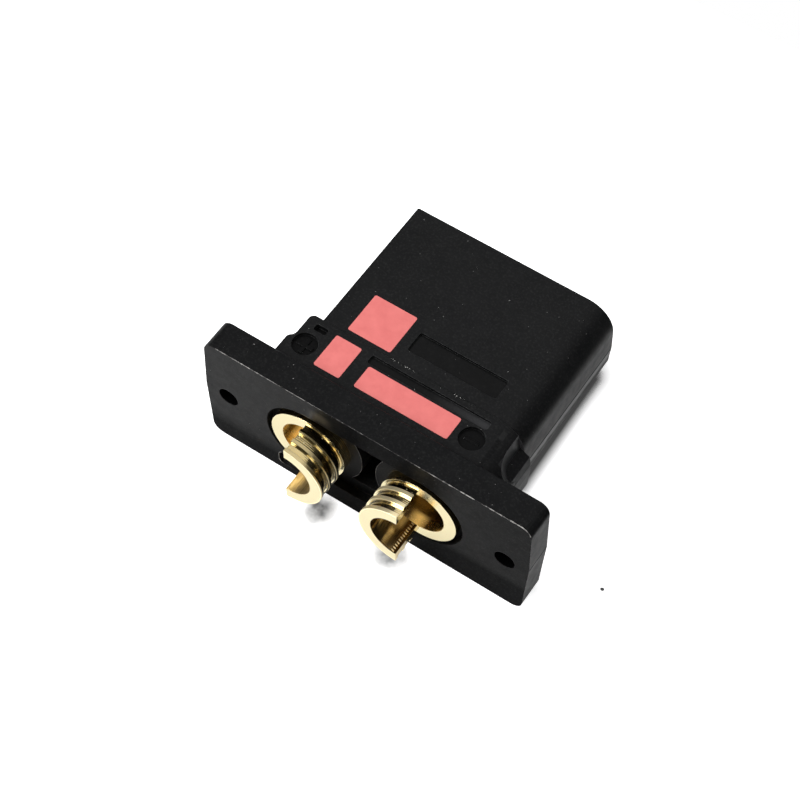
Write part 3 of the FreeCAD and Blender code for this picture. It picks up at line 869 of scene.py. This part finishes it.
# Pale scuffs on the collar's far upper edge: from, to and how many
SCUFFED = ((-5.0, -0.8, 16), (5.4, 8.4, 12))


def make_scuffs():
    generator = random.Random(5)
    bm = bmesh.new()
    for x0, x1, count in SCUFFED:
        for index in range(count):
            x = generator.uniform(x0, x1)
            y = COLLAR_END - 0.05 - 0.25 * generator.random() ** 2
            add_mote(bm, (x, y, COLLAR_TOP), 0.02 + 0.05 * generator.random() ** 2, generator)
    finish_piece("edge_scuffs", bm, flash)


make_flash()
make_end_edge()
make_wall_rim_highlights()
make_relief_edge_highlight()
make_seams()
make_signs()
make_cut_teeth()
make_dust()
make_scuffs()


# Floor: white table, tilted as the part rests on it in its own axes.
# A painted patch has its middle and its reach in x and y. The strip fades between the limits of a pair.
LEFT_CUP_SHADE = ((-5.9, -6.9), (2.8, 3.2))
RIGHT_CUP_SHADE = ((6.3, -7.3), (3.6, 3.0))
FLECK = ((33.55, 4.05), (0.32, 0.28))
STRIP_X = (16.2, 17.9)
STRIP_NEAR = (9.0, 11.0)
STRIP_FAR = (32.8, 31.3)
STRIP_LEFT = 12.0
BESIDE_X = (14.0, 18.0)
BESIDE_Y = (-5.0, -3.0)


def blot(tree, x, y, centre, reach):
    """Soft patch on the table: 1 in the middle, 0 at the reach (both in millimetres)"""
    along = calc(tree, "DIVIDE", calc(tree, "SUBTRACT", x, centre[0] * MM), reach[0] * MM)
    across = calc(tree, "DIVIDE", calc(tree, "SUBTRACT", y, centre[1] * MM), reach[1] * MM)
    squares = calc(tree, "ADD", calc(tree, "MULTIPLY", along, along), calc(tree, "MULTIPLY", across, across))
    return ramp(tree, squares, 1.0, 0.0)


def far_right(tree, x, y):
    """1 far to the right, where the studio was dark and the body's rounded edge mirrors it"""
    edge = slope(tree, y, 8.0, 14.0, NEAR_RIGHT * MM, FAR_RIGHT * MM)
    return slope(tree, calc(tree, "SUBTRACT", x, edge), 0.0, 8.0)


def contact_shade(tree, y):
    """Shade where the part comes near the table, none under the cups"""
    near = put(tree, "ShaderNodeAmbientOcclusion", {"Distance": CONTACT_SHADE_REACH * MM}, samples=12)
    shade = both(tree, inverse(tree, near.outputs["AO"]), slope(tree, y, -4.5, 6.0, 0.0, 1.5))
    core = calc(tree, "MAXIMUM", calc(tree, "SUBTRACT", shade, 0.50), 0.0)
    return weighted(tree, shade, (core, 1.4))


def cast_shade(tree, place, x, y):
    """Soft shadows of the two cups, the strip along the body's right side, and a fleck of dirt"""
    uneven = ramp(tree, grain(tree, place, 700.0, 2.0), 0.3, 0.7, 0.8, 1.1)
    left_cup = blot(tree, x, y, *LEFT_CUP_SHADE)
    right_cup = blot(tree, x, y, *RIGHT_CUP_SHADE)
    cups = both(tree, weighted(tree, 0.0, (left_cup, 0.90), (right_cup, 0.80)), uneven)
    strip = both(tree, slope(tree, x, *STRIP_X, 0.95, 0.0), slope(tree, y, *STRIP_NEAR),
                 slope(tree, y, *STRIP_FAR), above(tree, x, STRIP_LEFT))
    fleck = calc(tree, "MULTIPLY", blot(tree, x, y, *FLECK), 3.0)
    return any_of(tree, cups, strip, calc(tree, "MINIMUM", fleck, 0.95))


def table_material():
    material, tree, surface, place = start_material("white_table")
    x, y = put(tree, "ShaderNodeSeparateXYZ", {"Vector": place}).outputs[:2]
    path = put(tree, "ShaderNodeLightPath").outputs
    mirrored = path["Is Glossy Ray"]
    cast = both(tree, cast_shade(tree, place, x, y), inverse(tree, mirrored))
    lit = calc(tree, "MAXIMUM", inverse(tree, any_of(tree, contact_shade(tree, y), cast)), 0.05)
    lit = both(tree, lit, inverse(tree, both(tree, mirrored, far_right(tree, x, y))))
    beside = both(tree, mirrored, slope(tree, x, *BESIDE_X), slope(tree, y, *BESIDE_Y))
    before = both(tree, mirrored, below(tree, y, BESIDE_Y[0]))
    glow = weighted(tree, 0.0, (path["Is Camera Ray"], FLOOR_GLOW), (beside, FLOOR_SIDE_GLOW),
                    (before, FLOOR_FRONT_GLOW))
    set_input(tree, surface, "Roughness", 0.7)
    set_input(tree, surface, "Specular IOR Level", 0.1)
    set_input(tree, surface, "Base Color", blend_colour(tree, lit, (0.0, 0.0, 0.0, 1), FLOOR_WHITE))
    set_input(tree, surface, "Emission Color", (1.0, 1.0, 1.0, 1))
    set_input(tree, surface, "Emission Strength", both(tree, glow, lit))
    return material


def make_floor():
    near, far = Vector(REST_NEAR), Vector(REST_FAR)
    tilt = (far.y - near.y) / (far.x - near.x)
    corners = [(-TABLE_SIDE, TABLE_NEAR), (TABLE_SIDE, TABLE_NEAR),
               (TABLE_SIDE, TABLE_FAR), (-TABLE_SIDE, TABLE_FAR)]
    bm = bmesh.new()
    verts = []
    for x, y in corners:
        height = near.y + (y - near.x) * tilt
        verts.append(bm.verts.new((x * MM, y * MM, height * MM)))
    bm.faces.new(verts)
    floor = link_mesh("floor", bm, table_material())


make_floor()


# Light: white surroundings for the camera, a plain sky for the rest, two softboxes and a ceiling panel
def make_world():
    world = bpy.data.worlds.new("studio")
    scene.world = world
    world.use_nodes = True
    tree = world.node_tree
    tree.nodes.clear()
    direction = put(tree, "ShaderNodeTexCoord").outputs["Generated"]
    height = put(tree, "ShaderNodeSeparateXYZ", {"Vector": direction}).outputs[2]
    level = ramp(tree, height, -0.25, 0.05, 1.0, SKY_LEVEL)
    seen = put(tree, "ShaderNodeLightPath").outputs["Is Camera Ray"]
    plain = put(tree, "ShaderNodeBackground", {"Color": (1, 1, 1, 1), "Strength": level})
    white = put(tree, "ShaderNodeBackground", {"Color": (1, 1, 1, 1), "Strength": 1.0})
    mixed = put(tree, "ShaderNodeMixShader", {0: seen, 1: plain.outputs[0], 2: white.outputs[0]})
    put(tree, "ShaderNodeOutputWorld", {"Surface": mixed.outputs[0]})


def softbox(name, direction, distance, width, height, power):
    lamp = bpy.data.lights.new(name, "AREA")
    lamp.shape = "RECTANGLE"
    lamp.size = width
    lamp.size_y = height
    lamp.energy = power
    box = bpy.data.objects.new(name, lamp)
    scene.collection.objects.link(box)
    toward = Vector(direction).normalized()
    box.location = toward * distance
    box.rotation_mode = "QUATERNION"
    box.rotation_quaternion = toward.to_track_quat("Z", "Y")


make_world()
softbox("softbox_left", (-0.50, -0.42, 0.78), 0.62, 0.42, 0.42, 3.9)
softbox("softbox_right", (0.75, -0.25, 0.62), 0.70, 0.30, 0.30, 0.8)
softbox("ceiling_panel", (0.10, 0.47, 0.87), 0.60, 0.90, 0.34, 0.96)


# Camera
def make_camera():
    data = bpy.data.cameras.new("camera")
    data.lens = CAMERA_LENS
    data.sensor_width = SENSOR_WIDTH
    data.clip_start = 0.01
    data.clip_end = 10.0
    camera = bpy.data.objects.new("camera", data)
    scene.collection.objects.link(camera)
    right = CAMERA_RIGHT.normalized()
    up = (-CAMERA_DOWN).normalized()
    back = right.cross(up)
    turn = Matrix((right, up, back)).transposed().to_4x4()
    camera.matrix_world = Matrix.Translation(CAMERA_PLACE) @ turn
    scene.camera = camera


make_camera()
scene.view_settings.view_transform = "Standard"
